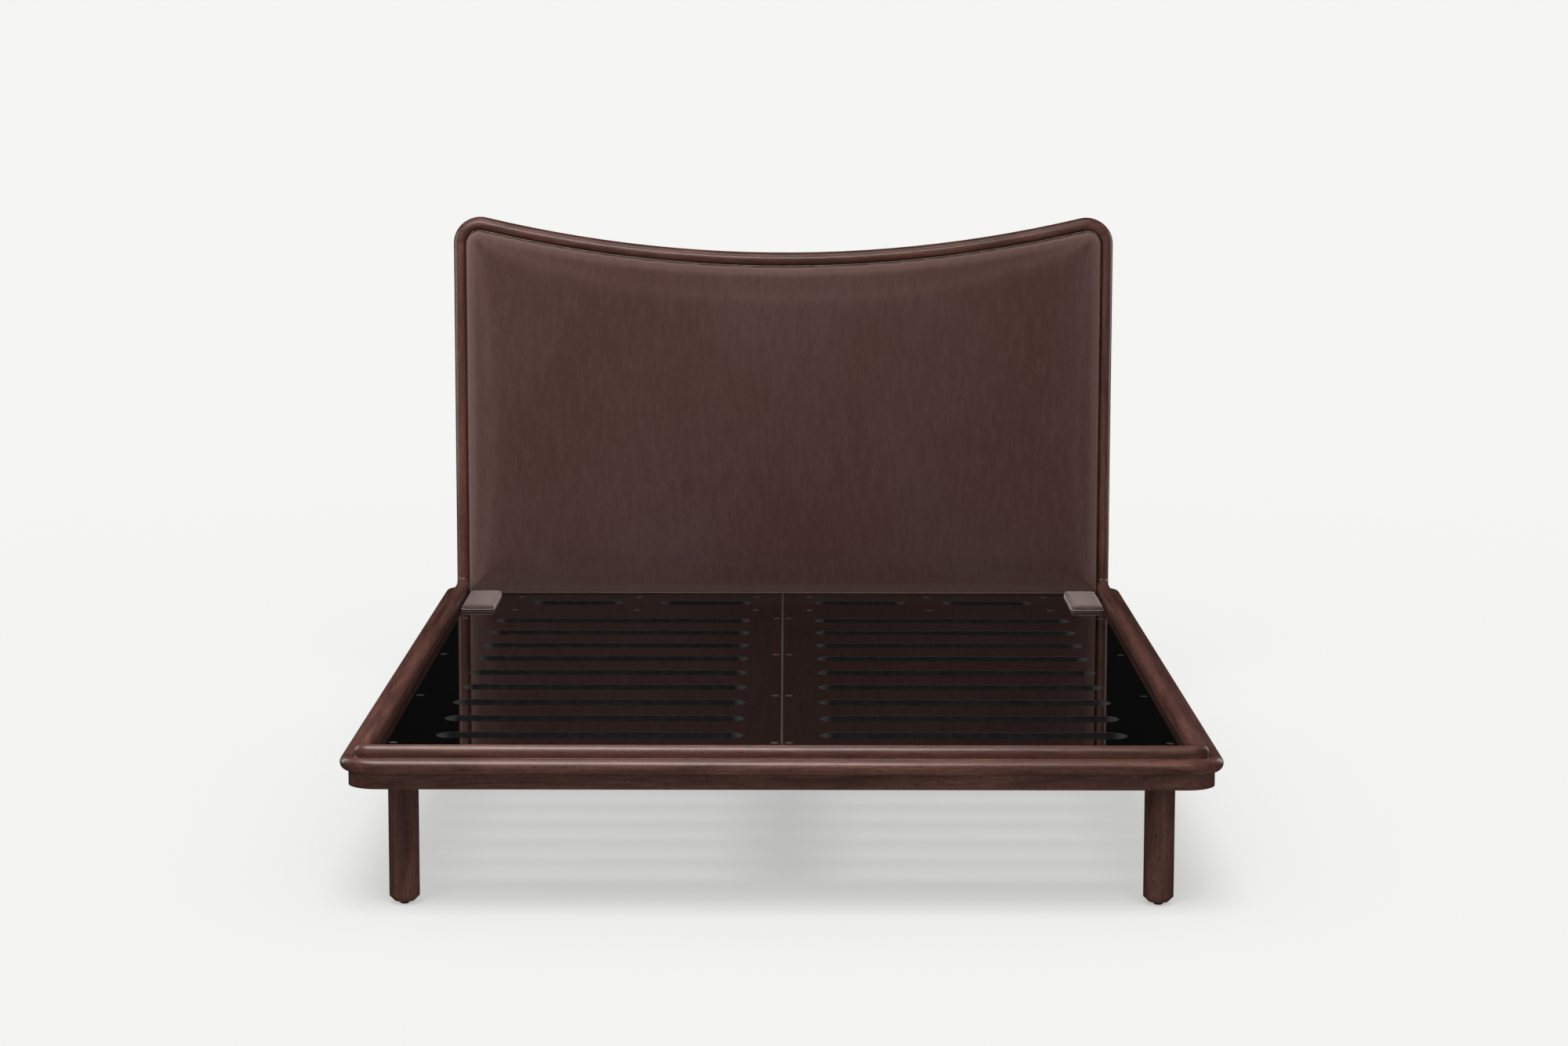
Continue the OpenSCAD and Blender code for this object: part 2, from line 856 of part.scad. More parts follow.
module side_cleat() {
  color("#5b4636") difference() {
    translate([-inner_x, -block_y, batten_low]) cube([cleat_w, 2 * block_y, batten_h]);
    side_cleat_screws() screw_hole(cleat_screw_r, cleat_screw_l);
    right() deck_bolt_places() deck_insert_hole();
  }
}

module side_cleat_left() {
  side_cleat();
}

module side_cleat_right() {
  right() side_cleat();
}

module foot_cleat() {
  color("#5b4636") difference() {
    translate([-block_x, foot_inner_y, batten_low]) cube([2 * block_x, cleat_w, batten_h]);
    foot_cleat_screws() screw_hole(cleat_screw_r, cleat_screw_l);
  }
}

module cross_rail(half, y) {
  color("#5b4636") difference() {
    translate([-half, y - cross_w / 2, batten_low]) cube([2 * half, cross_w, batten_h]);
    both() deck_bolt_places() deck_insert_hole();
    both() bracket_deck_places() screw_hole(bracket_screw_r, bracket_deck_l);
  }
}

module cross_rail_front() {
  cross_rail(inner_x - cleat_w, cross_front_y);
}

module cross_rail_rear() {
  cross_rail(block_x, cross_rear_y);
}

// Beams along the inner edges of the deck's halves, side by side under the seam
module centre_beams() {
  y0 = foot_inner_y + cleat_w;
  y1 = cross_front_y - cross_w / 2;
  color("#5b4636") difference() {
    both() translate([beam_gap / 2, y0, batten_low]) cube([(beam_w - beam_gap) / 2, y1 - y0, batten_h]);
    both() deck_bolt_places() deck_insert_hole();
    translate([0, centre_leg_y, batten_low - apron_z]) leg_insert_hole();
  }
}

module angle_bracket(short) {
  translate([0, 0, batten_low + 3]) {
    cube([angle_l, angle_t, angle_h]);
    cube([angle_t, short, angle_h]);
  }
}

module angle_brackets() {
  color("#8f8f8f") both() {
    translate([-inner_x + cleat_w, cross_front_y - cross_w / 2, 0]) mirror([0, 1, 0]) angle_bracket(angle_l);
    translate([-block_x, cross_rear_y - cross_w / 2, 0]) mirror([0, 1, 0]) angle_bracket(angle_short_l);
    translate([-beam_w / 2, cross_front_y - cross_w / 2, 0]) rotate([0, 0, 180]) angle_bracket(angle_l);
    translate([-beam_w / 2, foot_inner_y + cleat_w, 0]) mirror([1, 0, 0]) angle_bracket(angle_l);
  }
}

// ---- Legs ----

// Leg axes of the left half on the floor: foot end first
module leg_axes_left() {
  for (y = [-leg_y, leg_y]) translate([-leg_x, y, 0]) children();
}

module leg_insert_hole() {
  depth = leg_bolt_top - apron_z + 2;
  translate([0, 0, apron_z - over]) cylinder(r = leg_insert_r + fit_gap, h = depth + over);
}

// Bolts from the leg blocks into the side rails, along -X
module side_block_bolts() {
  for (y = block_bolt_y)
    translate([-inner_x + block_w - block_bolt_sink, y, side_block_bolt_z]) rotate([0, 90, 0]) children();
}

// Bolts from the foot-end leg blocks into the foot rail, along -Y
module foot_block_bolts() {
  translate([-block_x - 22, -block_y - block_bolt_sink, foot_block_bolt_z]) rotate([-90, 0, 0]) children();
}

// Round-headed bolt that points down from the origin, with its head above
module block_bolt() {
  translate([0, 0, -block_bolt_l]) cylinder(r = block_bolt_r, h = block_bolt_l);
  cylinder(r = block_bolt_head_r, h = block_bolt_head_h);
}

module block_bolt_hole() {
  translate([0, 0, -block_bolt_l - 1]) cylinder(r = block_bolt_r + fit_gap, h = block_bolt_l + 2);
  cylinder(r = block_bolt_head_r + fit_gap, h = block_w);
}

module leg_block_bolts() {
  color("#8f8f8f") both() {
    side_block_bolts() block_bolt();
    foot_block_bolts() block_bolt();
  }
}

module leg_blocks() {
  color("#5b4636") both() for (end = [0, 1]) difference() {
    translate([-inner_x, end == 0 ? foot_inner_y : block_y, apron_z])
      cube([block_w, block_w, batten_z - apron_z]);
    leg_axes_left() leg_insert_hole();
    side_block_bolts() block_bolt_hole();
    if (end == 0) foot_block_bolts() block_bolt_hole();
    bracket_deck_places() screw_hole(bracket_screw_r, bracket_deck_l);
  }
}

module leg_insert() {
  difference() {
    translate([0, 0, apron_z + 1]) cylinder(r = leg_insert_r, h = leg_bolt_top - apron_z - 1);
    translate([0, 0, apron_z]) cylinder(r = stem_r + stem_slack, h = leg_bolt_top - apron_z + over);
  }
}

module leg_inserts() {
  color("#b59a5a") {
    both() leg_axes_left() leg_insert();
    translate([0, centre_leg_y, batten_low - apron_z]) leg_insert();
  }
}

module leg_bolts() {
  color("#8f8f8f") {
    both() leg_axes_left() leg_bolt();
    translate([0, centre_leg_y, 0]) leg_bolt();
  }
}

module leg_bolt() {
  translate([0, 0, leg_bolt_low]) cylinder(r = stem_r, h = leg_bolt_top - leg_bolt_low - 1);
}

// Turned leg with a chamfered foot, bored for its bolt and for its glide
module leg(r, chamfer, top) {
  difference() {
    rotate_extrude() polygon([
      [0, glide_h], [r - chamfer, glide_h], [r, glide_h + chamfer], [r, top], [0, top]
    ]);
    translate([0, 0, leg_bolt_low - 1]) cylinder(r = stem_r + stem_slack, h = top - leg_bolt_low + 2);
    translate([0, 0, glide_h - over]) cylinder(r = insert_r + stem_slack, h = insert_top - glide_h + over);
    translate([0, 0, glide_h]) cylinder(r = stem_r + 0.4, h = stem_top - glide_h + 3);
  }
}

module corner_leg(x, y) {
  color("#43302b") translate([x, y, 0]) leg(leg_r, leg_chamfer, apron_z);
}

module leg_foot_left() {
  corner_leg(-leg_x, -leg_y);
}

module leg_foot_right() {
  corner_leg(leg_x, -leg_y);
}

module leg_head_left() {
  corner_leg(-leg_x, leg_y);
}

module leg_head_right() {
  corner_leg(leg_x, leg_y);
}

module centre_leg() {
  color("#43302b") translate([0, centre_leg_y, 0]) leg(centre_leg_r, centre_chamfer, batten_low);
}

module glide_inserts() {
  color("#b59a5a") {
    both() leg_axes_left() glide_insert();
    translate([0, centre_leg_y, 0]) glide_insert();
  }
}

module glide_insert() {
  difference() {
    translate([0, 0, glide_h + glide_gap]) cylinder(r = insert_r, h = insert_top - glide_h - 2 * glide_gap);
    translate([0, 0, glide_h]) cylinder(r = stem_r + stem_slack, h = insert_top);
  }
}

// Levelling glide: a disc with an eased lower edge on a threaded stem
module glide(x, y) {
  r = glide_d / 2;
  top = glide_h - glide_gap;
  color("#2f2521") translate([x, y, 0]) rotate_extrude() polygon([
    [0, 0], [r - 1.5, 0], [r, 1.5], [r, top], [stem_r, top], [stem_r, stem_top], [0, stem_top]
  ]);
}

module glide_foot_left() {
  glide(-leg_x, -leg_y);
}

module glide_foot_right() {
  glide(leg_x, -leg_y);
}

module glide_head_left() {
  glide(-leg_x, leg_y);
}

module glide_head_right() {
  glide(leg_x, leg_y);
}

module glide_centre() {
  glide(0, centre_leg_y);
}

foot_rail();
side_rail_left();
side_rail_right();
head_rail();
foot_corner_left();
foot_corner_right();
head_corner_left();
head_corner_right();
foot_bead();
side_bead_left();
side_bead_right();
corner_dowels();
headboard_post_left();
headboard_post_right();
headboard_corner_left();
headboard_corner_right();
crest_rail();
headboard_bottom_rail();
headboard_middle_rail();
headboard_dowels();
headboard_back_panel();
back_panel_screws();
headboard_pad_board();
headboard_foam();
headboard_cover();
pad_screws();
headboard_bolts();
bracket_left();
bracket_right();
bracket_screws();
bracket_foams();
bracket_cover_left();
bracket_cover_right();
deck_left();
deck_right();
deck_bolts();
deck_bolt_inserts();
side_cleat_left();
side_cleat_right();
foot_cleat();
cross_rail_front();
cross_rail_rear();
centre_beams();
cleat_screws();
angle_brackets();
leg_blocks();
leg_block_bolts();
leg_inserts();
leg_bolts();
glide_inserts();
leg_foot_left();
leg_foot_right();
leg_head_left();
leg_head_right();
centre_leg();
glide_foot_left();
glide_foot_right();
glide_head_left();
glide_head_right();
glide_centre();
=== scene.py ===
# Low platform bed in dark walnut with a velvet headboard, on a pale studio floor.
# Metres, +Z up, head at +Y, left at -X. Colours are linear.
import math

import bmesh
import bpy
from mathutils import Euler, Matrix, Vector
from mathutils.kdtree import KDTree


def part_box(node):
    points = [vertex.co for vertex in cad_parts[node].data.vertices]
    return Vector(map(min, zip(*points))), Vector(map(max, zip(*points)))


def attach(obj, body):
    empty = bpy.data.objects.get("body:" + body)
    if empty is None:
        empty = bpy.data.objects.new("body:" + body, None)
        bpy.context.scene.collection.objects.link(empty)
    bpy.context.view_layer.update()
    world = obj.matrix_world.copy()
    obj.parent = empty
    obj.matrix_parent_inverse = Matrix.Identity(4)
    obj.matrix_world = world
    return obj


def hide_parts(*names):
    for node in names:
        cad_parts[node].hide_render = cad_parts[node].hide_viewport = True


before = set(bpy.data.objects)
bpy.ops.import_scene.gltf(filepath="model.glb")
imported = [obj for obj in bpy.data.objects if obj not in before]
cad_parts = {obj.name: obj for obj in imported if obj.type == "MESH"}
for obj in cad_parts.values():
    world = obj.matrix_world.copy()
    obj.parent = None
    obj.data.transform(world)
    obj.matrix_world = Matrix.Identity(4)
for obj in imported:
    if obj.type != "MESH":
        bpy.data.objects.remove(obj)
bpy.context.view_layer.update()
scene = bpy.context.scene
BODY = "bed"
SIDES = ("left", "right")


# ---- Camera, light and floor ----

BACKGROUND = (0.913, 0.913, 0.896)
AMBIENT = 0.28
AMBIENT_TINT = (0.96, 0.98, 1.0)
GLOSSY_AMBIENT = 0.008
GLOSSY_TINT = (0.95, 0.92, 0.90)
FLOOR_RADIUS = 11.0
FLOOR_SEGMENTS = 96
# Distances from the bed's middle between which the floor fades out
FLOOR_FADE = (2.6, 6.5)
FLOOR_ALBEDO = 0.62
FLOOR_GLOW = 0.48
# What the floor's lights add to its glow and the ambient light, to match the background
SUNLIGHT = math.pi * ((1 - FLOOR_GLOW) * BACKGROUND[0] / FLOOR_ALBEDO - AMBIENT)
SUN_LEAN = math.radians(-2)

EYE = Vector((0.0070, -7.497, 1.6006))
PITCH = math.radians(7.583)
ROLL = math.radians(0.086)
YAW = math.radians(0.040)
SENSOR_WIDTH_MM = 36.0
LENS_MM = 80.1
CLIP_END = 60.0

scene.view_settings.view_transform = "Standard"
camera = bpy.data.objects.new("camera", bpy.data.cameras.new("camera"))
camera.data.sensor_width = SENSOR_WIDTH_MM
camera.data.lens = LENS_MM
camera.data.clip_end = CLIP_END
camera.location = EYE
camera.rotation_euler = Euler((math.pi / 2 - PITCH, -ROLL, YAW))
scene.collection.objects.link(camera)
scene.camera = camera


def make_world():
    """Pale for the camera, soft ambient for matt surfaces, dim for reflections, like a shaded studio."""
    world = bpy.data.worlds.new("studio")
    world.use_nodes = True
    tree = world.node_tree
    tree.nodes.clear()
    path = tree.nodes.new("ShaderNodeLightPath")

    def background(colour, strength):
        shader = tree.nodes.new("ShaderNodeBackground")
        shader.inputs["Color"].default_value = (*colour, 1)
        shader.inputs["Strength"].default_value = strength
        return shader.outputs[0]

    def switch(ray, no, yes):
        mix = tree.nodes.new("ShaderNodeMixShader")
        tree.links.new(path.outputs[ray], mix.inputs[0])
        tree.links.new(no, mix.inputs[1])
        tree.links.new(yes, mix.inputs[2])
        return mix.outputs[0]

    ambient = background(AMBIENT_TINT, AMBIENT)
    dim = background(GLOSSY_TINT, GLOSSY_AMBIENT)
    pale = background(BACKGROUND, 1.0)
    output = tree.nodes.new("ShaderNodeOutputWorld")
    shown = switch("Is Camera Ray", switch("Is Glossy Ray", ambient, dim), pale)
    tree.links.new(shown, output.inputs["Surface"])
    scene.world = world


def make_floor():
    """Pale paper floor that fades into the background far from the bed.

    A little glow keeps its shadows light.
    """
    mesh = bpy.data.meshes.new("floor")
    shape = bmesh.new()
    bmesh.ops.create_circle(shape, cap_ends=True, radius=FLOOR_RADIUS, segments=FLOOR_SEGMENTS)
    shape.to_mesh(mesh)
    shape.free()
    floor = bpy.data.objects.new("floor", mesh)
    scene.collection.objects.link(floor)
    paper = bpy.data.materials.new("floor_paper")
    paper.use_nodes = True
    tree = paper.node_tree
    tree.nodes.clear()

    def node(kind, **inputs):
        made = tree.nodes.new("ShaderNode" + kind)
        for socket, value in inputs.items():
            if hasattr(value, "is_output"):
                tree.links.new(value, made.inputs[socket])
            else:
                made.inputs[socket].default_value = value
        return made

    distance = node("VectorMath", Vector=node("TexCoord").outputs["Object"])
    distance.operation = "LENGTH"
    fade = node("MapRange", Value=distance.outputs["Value"])
    fade.inputs["From Min"].default_value, fade.inputs["From Max"].default_value = FLOOR_FADE
    fade.interpolation_type = "SMOOTHSTEP"
    matt = node("BsdfDiffuse", Color=(*[FLOOR_ALBEDO * c / BACKGROUND[0] for c in BACKGROUND], 1))
    glow = node("Emission", Color=(*BACKGROUND, 1), Strength=FLOOR_GLOW)
    lit = node("AddShader")
    tree.links.new(matt.outputs[0], lit.inputs[0])
    tree.links.new(glow.outputs[0], lit.inputs[1])
    mixed = node("MixShader", Fac=fade.outputs[0])
    tree.links.new(lit.outputs[0], mixed.inputs[1])
    tree.links.new(node("BsdfTransparent").outputs[0], mixed.inputs[2])
    tree.links.new(mixed.outputs[0], node("OutputMaterial").inputs["Surface"])
    mesh.materials.append(paper)
    floor.visible_glossy = False
    return floor


def lights_only(lamp, objects, state):
    """Makes a lamp light only these objects, or everything but them."""
    group = bpy.data.collections.new(lamp.name + "_receivers")
    for item in objects:
        group.objects.link(item)
    for entry in group.collection_objects:
        entry.light_linking.link_state = state
    lamp.light_linking.receiver_collection = group


def softbox(name, place, target, size, power, mirrored=True):
    """Rectangular area light that faces target and lights the bed alone.

    A mirrored one shows in glossy surfaces, but leaves out the deck, where its outline would stand out.
    """
    data = bpy.data.lights.new(name, "AREA")
    data.shape = "RECTANGLE"
    data.size, data.size_y = size
    data.energy = power
    lamp = bpy.data.objects.new(name, data)
    lamp.location = place
    lamp.rotation_euler = (Vector(target) - Vector(place)).to_track_quat("-Z", "Y").to_euler()
    scene.collection.objects.link(lamp)
    lamp.visible_glossy = mirrored
    decks = [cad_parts["deck_" + side] for side in SIDES] if mirrored else []
    lights_only(lamp, [floor] + decks, "EXCLUDE")


def floor_sun(name, tilt, spread, share):
    """Wide even light for the floor alone, from above and the front.

    Its share is of SUNLIGHT. Tilt and spread are in degrees.
    """
    data = bpy.data.lights.new(name, "SUN")
    data.energy = share * SUNLIGHT / math.cos(math.radians(tilt))
    data.angle = math.radians(spread)
    lamp = bpy.data.objects.new(name, data)
    lamp.rotation_euler = (math.radians(tilt), SUN_LEAN, 0)
    scene.collection.objects.link(lamp)
    lights_only(lamp, [floor], "INCLUDE")


make_world()
floor = make_floor()
floor_sun("floor_sun_top", tilt=14, spread=32, share=0.6)
floor_sun("floor_sun_front", tilt=52, spread=60, share=0.4)
softbox("overhead", (-0.6, -1.45, 2.35), (-0.1, -0.7, 0.3), (2.6, 1.2), 88)
softbox("crest_light", (0.0, 0.75, 2.3), (0.0, 0.95, 1.0), (1.9, 0.5), 8)
softbox("front_fill", (-1.4, -5.6, 2.2), (0.0, 0.0, 0.6), (3.2, 2.0), 30, mirrored=False)
softbox("left_strip", (-2.9, 0.75, 1.2), (0.0, 0.9, 0.7), (0.6, 1.8), 22)
softbox("right_strip", (2.7, 1.5, 1.1), (0.0, 1.0, 0.7), (0.35, 1.8), 16)
softbox("back_fill", (0.8, 5.4, 3.4), (0.0, 0.8, 0.6), (3.2, 2.0), 60, mirrored=False)


# ---- Node materials ----

# Where a Mix node that mixes colours has its factor, its two colours and its result
MIX_COLOUR_INPUTS = (0, 6, 7)
MIX_COLOUR_OUTPUT = 2


class Material:
    """A Principled material and short ways to add the nodes before it."""

    def __init__(self, name, **uniform):
        self.data = bpy.data.materials.new(name)
        self.data.use_nodes = True
        self.tree = self.data.node_tree
        self.shader = self.tree.nodes["Principled BSDF"]
        for socket, value in uniform.items():
            self.shader.inputs[socket.replace("_", " ")].default_value = value
        coordinates = self.tree.nodes.new("ShaderNodeTexCoord")
        self.place = coordinates.outputs["Object"]
        self.facing = coordinates.outputs["Normal"]

    def feed(self, socket, value):
        """Links another node's output to a socket, or sets a plain value there."""
        if hasattr(value, "is_output"):
            self.tree.links.new(value, socket)
        else:
            socket.default_value = value

    def node(self, kind, output=0, **inputs):
        """An output of a new node; an underscore in an input's name stands for a space."""
        made = self.tree.nodes.new("ShaderNode" + kind)
        for socket, value in inputs.items():
            self.feed(made.inputs[socket.replace("_", " ")], value)
        return made.outputs[output]

    def stretched(self, scale):
        """The place on the bed, with a scale for each axis."""
        mapping = self.tree.nodes.new("ShaderNodeMapping")
        self.tree.links.new(self.place, mapping.inputs["Vector"])
        mapping.inputs["Scale"].default_value = scale
        return mapping.outputs[0]

    def noise(self, vector, scale, detail=3.0, roughness=0.55, distortion=0.0):
        return self.node("TexNoise", Vector=vector, Scale=scale, Detail=detail,
                         Roughness=roughness, Distortion=distortion)

    def ramp(self, factor, *stops):
        """Colours or grey levels at positions along factor."""
        made = self.tree.nodes.new("ShaderNodeValToRGB")
        elements = made.color_ramp.elements
        while len(elements) < len(stops):
            elements.new(0.5)
        for element, (position, colour) in zip(elements, stops):
            element.position = position
            element.color = (*colour, 1) if isinstance(colour, tuple) else (colour, colour, colour, 1)
        self.tree.links.new(factor, made.inputs[0])
        return made.outputs[0]

    def span(self, factor, low, high):
        """A grey level from low to high as factor goes from 0 to 1."""
        made = self.tree.nodes.new("ShaderNodeMapRange")
        self.tree.links.new(factor, made.inputs["Value"])
        made.inputs["To Min"].default_value = low
        made.inputs["To Max"].default_value = high
        return made.outputs[0]

    def size_of(self, value):
        """The value without its sign."""
        made = self.tree.nodes.new("ShaderNodeMath")
        made.operation = "ABSOLUTE"
        self.tree.links.new(value, made.inputs[0])
        return made.outputs[0]

    def mix(self, factor, a, b):
        """Colour a at factor 0 and b at factor 1."""
        made = self.tree.nodes.new("ShaderNodeMix")
        made.data_type = "RGBA"
        for socket, value in zip(MIX_COLOUR_INPUTS, (factor, a, b)):
            self.feed(made.inputs[socket], (*value, 1) if isinstance(value, tuple) else value)
        return made.outputs[MIX_COLOUR_OUTPUT]

    def bump(self, height, depth, strength):
        made = self.tree.nodes.new("ShaderNodeBump")
        self.tree.links.new(height, made.inputs["Height"])
        made.inputs["Distance"].default_value = depth
        made.inputs["Strength"].default_value = strength
        self.tree.links.new(made.outputs[0], self.shader.inputs["Normal"])

    def finish(self, colour, roughness):
        self.feed(self.shader.inputs["Base Color"], colour)
        self.feed(self.shader.inputs["Roughness"], roughness)
        return self.data


AXES = "xyz"


def along(axis, lengthwise):
    """Texture scale that is full across the grain and stretched out along the axis."""
    return tuple(lengthwise if a == axis else 1.0 for a in AXES)


def dimmed(colour, share):
    """The colour times a share, which may be over 1."""
    return tuple(c * share for c in colour)


WALNUT_DARK = (0.046, 0.0165, 0.0120)
WALNUT_MID = (0.098, 0.038, 0.0265)
WALNUT_LIGHT = (0.155, 0.064, 0.045)


def walnut(name, axis, roughness=(0.34, 0.50), coat=0.24):
    """Dark oiled walnut with its grain along an axis: broad figure, fine streaks and short open pores."""
    m = Material(name, Coat_Weight=coat, Coat_Roughness=0.16, Specular_IOR_Level=0.38)
    figure = m.noise(m.stretched(along(axis, 0.12)), 22.0, detail=4.0, roughness=0.6, distortion=1.2)
    streak = m.noise(m.stretched(along(axis, 0.08)), 260.0, detail=3.0, roughness=0.6)
    pores = m.noise(m.stretched(along(axis, 0.09)), 1000.0, detail=2.0, roughness=0.5)
    colour = m.ramp(figure, (0.30, WALNUT_DARK), (0.50, WALNUT_MID), (0.74, WALNUT_LIGHT))
    colour = m.mix(m.ramp(streak, (0.42, 0.0), (0.68, 0.50)), colour, WALNUT_DARK)
    colour = m.mix(m.ramp(pores, (0.57, 0.0), (0.68, 0.85)), colour, dimmed(WALNUT_DARK, 0.30))
    grain = m.ramp(pores, (0.52, 1.0), (0.72, 0.0))
    m.bump(grain, 0.0003, 0.30)
    return m.finish(colour, m.span(streak, *roughness))


# How far from the seam the painted line of light reaches, its colour, and the colour of the painted highlight
# on chamfers and slot ends
SEAM_LINE_REACH = 0.0016
SEAM_LIGHT_COLOUR = (0.42, 0.38, 0.35)
GLINT_COLOUR = (0.095, 0.090, 0.087)


def lacquer():
    """High-gloss black-brown lacquer with a trace of grain and a slight waviness.

    Cut edges are duller; chamfers and slot ends get a painted highlight, and a painted line of light runs
    along the seam in the middle.
    """
    m = Material("deck_lacquer", Coat_Roughness=0.02, Specular_IOR_Level=0.0)
    height = m.node("SeparateXYZ", "Z", Vector=m.facing)
    upward = m.ramp(height, (0.55, 0.12), (0.95, 0.90))
    chamfer_highlight = m.ramp(height, (0.50, 0.0), (0.70, 1.0), (0.90, 0.0))
    figure = m.noise(m.stretched(along("y", 0.06)), 60.0, detail=4.0, roughness=0.6, distortion=0.6)
    gloss_colour = m.ramp(figure, (0.3, (0.0010, 0.0005, 0.0005)), (0.7, (0.0024, 0.0012, 0.0012)))
    edge_colour = m.ramp(figure, (0.3, (0.017, 0.0165, 0.0165)), (0.7, (0.029, 0.028, 0.028)))
    haze = m.noise(m.place, 9.0, detail=3.0)
    m.bump(m.noise(m.place, 14.0, detail=1.0), 0.0006, 0.15)
    m.feed(m.shader.inputs["Coat Weight"], upward)
    end_glint_facing = m.size_of(m.node("SeparateXYZ", "X", Vector=m.facing))
    # Slot ends, the walls facing sideways, get a painted glint in place of the light their curved walls catch
    walls_with_glints = m.mix(m.ramp(end_glint_facing, (0.25, 0.0), (0.75, 1.0)), edge_colour, GLINT_COLOUR)
    from_seam = m.node("MapRange", Value=m.size_of(m.node("SeparateXYZ", "X", Vector=m.place)))
    from_seam.node.inputs["From Max"].default_value = 2 * SEAM_LINE_REACH
    # Chamfers get a painted highlight
    colour = m.mix(chamfer_highlight, m.mix(upward, walls_with_glints, gloss_colour), GLINT_COLOUR)
    # Painted line of light along the seam, standing in for the floor seen through the gap between the decks
    colour = m.mix(m.ramp(from_seam, (0.45, 1.0), (0.55, 0.0)), colour, SEAM_LIGHT_COLOUR)
    return m.finish(colour, m.span(haze, 0.35, 0.5))


def raw_wood(name, axis, dark, light):
    """Unfinished or stained timber that stays out of sight."""
    m = Material(name)
    figure = m.noise(m.stretched(along(axis, 0.06)), 70.0, detail=5.0, roughness=0.6, distortion=0.8)
    fibre = m.noise(m.stretched(along(axis, 0.03)), 600.0, detail=2.0)
    colour = m.mix(m.ramp(fibre, (0.5, 0.0), (0.75, 0.6)), m.ramp(figure, (0.3, dark), (0.7, light)), dark)
    m.bump(fibre, 0.0003, 0.4)
    return m.finish(colour, m.span(fibre, 0.6, 0.8))


def metal(name, colour, roughness, brushed="z"):
    """Metal with faint drawing marks and patches of duller plating."""
    m = Material(name, Metallic=1.0)
    marks = m.noise(m.stretched(along(brushed, 0.05)), 900.0, detail=2.0)
    patches = m.noise(m.place, 35.0, detail=3.0)
    tone = m.mix(m.ramp(patches, (0.35, 0.0), (0.7, 0.35)), colour, dimmed(colour, 0.6))
    m.bump(marks, 0.00005, 0.3)
    return m.finish(tone, m.span(patches, roughness - 0.08, roughness + 0.12))


def powder_coat():
    """Black paint with a fine orange-peel surface."""
    m = Material("black_steel")
    orange_peel = m.noise(m.place, 700.0, detail=2.0)
    m.bump(orange_peel, 0.0002, 0.3)
    tone = m.ramp(m.noise(m.place, 20.0), (0.3, (0.012, 0.011, 0.011)), (0.7, (0.022, 0.020, 0.020)))
    return m.finish(tone, m.span(orange_peel, 0.38, 0.55))


def nylon():
    """Dark brown moulded plastic, faintly mottled."""
    m = Material("glide_nylon")
    mottle = m.noise(m.place, 90.0, detail=4.0)
    m.bump(m.noise(m.place, 1500.0, detail=2.0), 0.0001, 0.4)
    tone = m.ramp(mottle, (0.3, (0.016, 0.009, 0.007)), (0.7, (0.028, 0.017, 0.013)))
    return m.finish(tone, m.span(mottle, 0.42, 0.6))


def velvet(name, deep, mid, bright, sheen_tint, sheen=1.0, edge_sheen=None):
    """Short-pile velvet: soft patches of laid nap, short streaks and single tufts.

    Given an edge sheen colour, the front gets a painted sheen, paler where it bends over an edge.
    """
    m = Material(name, Sheen_Weight=sheen, Sheen_Roughness=0.42, Sheen_Tint=(*sheen_tint, 1),
                 Specular_IOR_Level=0.12)
    drape = m.noise(m.stretched((1.0, 1.0, 0.7)), 2.3, detail=2.0, roughness=0.5)
    nap = m.noise(m.stretched((1.0, 1.0, 0.26)), 85.0, detail=4.0, roughness=0.75)
    tuft = m.noise(m.stretched((1.0, 1.0, 0.45)), 1300.0, detail=2.0, roughness=0.6)
    colour = m.ramp(drape, (0.34, deep), (0.50, mid), (0.66, bright))
    colour = m.mix(m.ramp(nap, (0.34, 0.45), (0.50, 0.0)), colour, dimmed(deep, 0.80))
    colour = m.mix(m.ramp(nap, (0.50, 0.0), (0.66, 0.45)), colour, dimmed(bright, 1.18))
    colour = m.mix(m.ramp(tuft, (0.38, 0.55), (0.60, 0.0)), colour, dimmed(deep, 0.6))
    # Painted sheen where the front bends back over an edge
    if edge_sheen:
        level = m.size_of(m.node("SeparateXYZ", "Y", Vector=m.facing))
        sheen_band = m.ramp(level, (0.78, 0.85), (0.96, 0.30), (0.999, 0.0))
        colour = m.mix(sheen_band, colour, edge_sheen)
    m.bump(m.mix(0.4, tuft, nap), 0.0008, 0.55)
    return m.finish(colour, m.span(tuft, 0.80, 0.95))


walnut_by_axis = {axis: walnut("walnut_" + axis, axis) for axis in AXES}
veneer = walnut("walnut_veneer", "x", roughness=(0.4, 0.55), coat=0.1)
dark_lacquer = lacquer()
beech = raw_wood("beech", "x", (0.36, 0.20, 0.10), (0.52, 0.33, 0.18))
plywood = raw_wood("plywood", "x", (0.38, 0.24, 0.12), (0.58, 0.41, 0.24))
stained_x = raw_wood("stained_x", "x", (0.012, 0.006, 0.005), (0.03, 0.017, 0.012))
stained_y = raw_wood("stained_y", "y", (0.012, 0.006, 0.005), (0.03, 0.017, 0.012))
zinc = metal("zinc", (0.62, 0.62, 0.64), 0.36)
nickel = metal("nickel", (0.60, 0.585, 0.57), 0.28, "x")
brass = metal("brass", (0.66, 0.48, 0.20), 0.34)
black_steel = powder_coat()
brown_nylon = nylon()
head_velvet = velvet("head_velvet", (0.063, 0.028, 0.023), (0.070, 0.034, 0.029), (0.078, 0.042, 0.038),
                     (0.80, 0.60, 0.52), edge_sheen=(0.165, 0.104, 0.091))
pad_velvet = velvet("pad_velvet", (0.088, 0.054, 0.047), (0.108, 0.069, 0.061), (0.132, 0.087, 0.079),
                    (0.78, 0.66, 0.62), sheen=0.6)
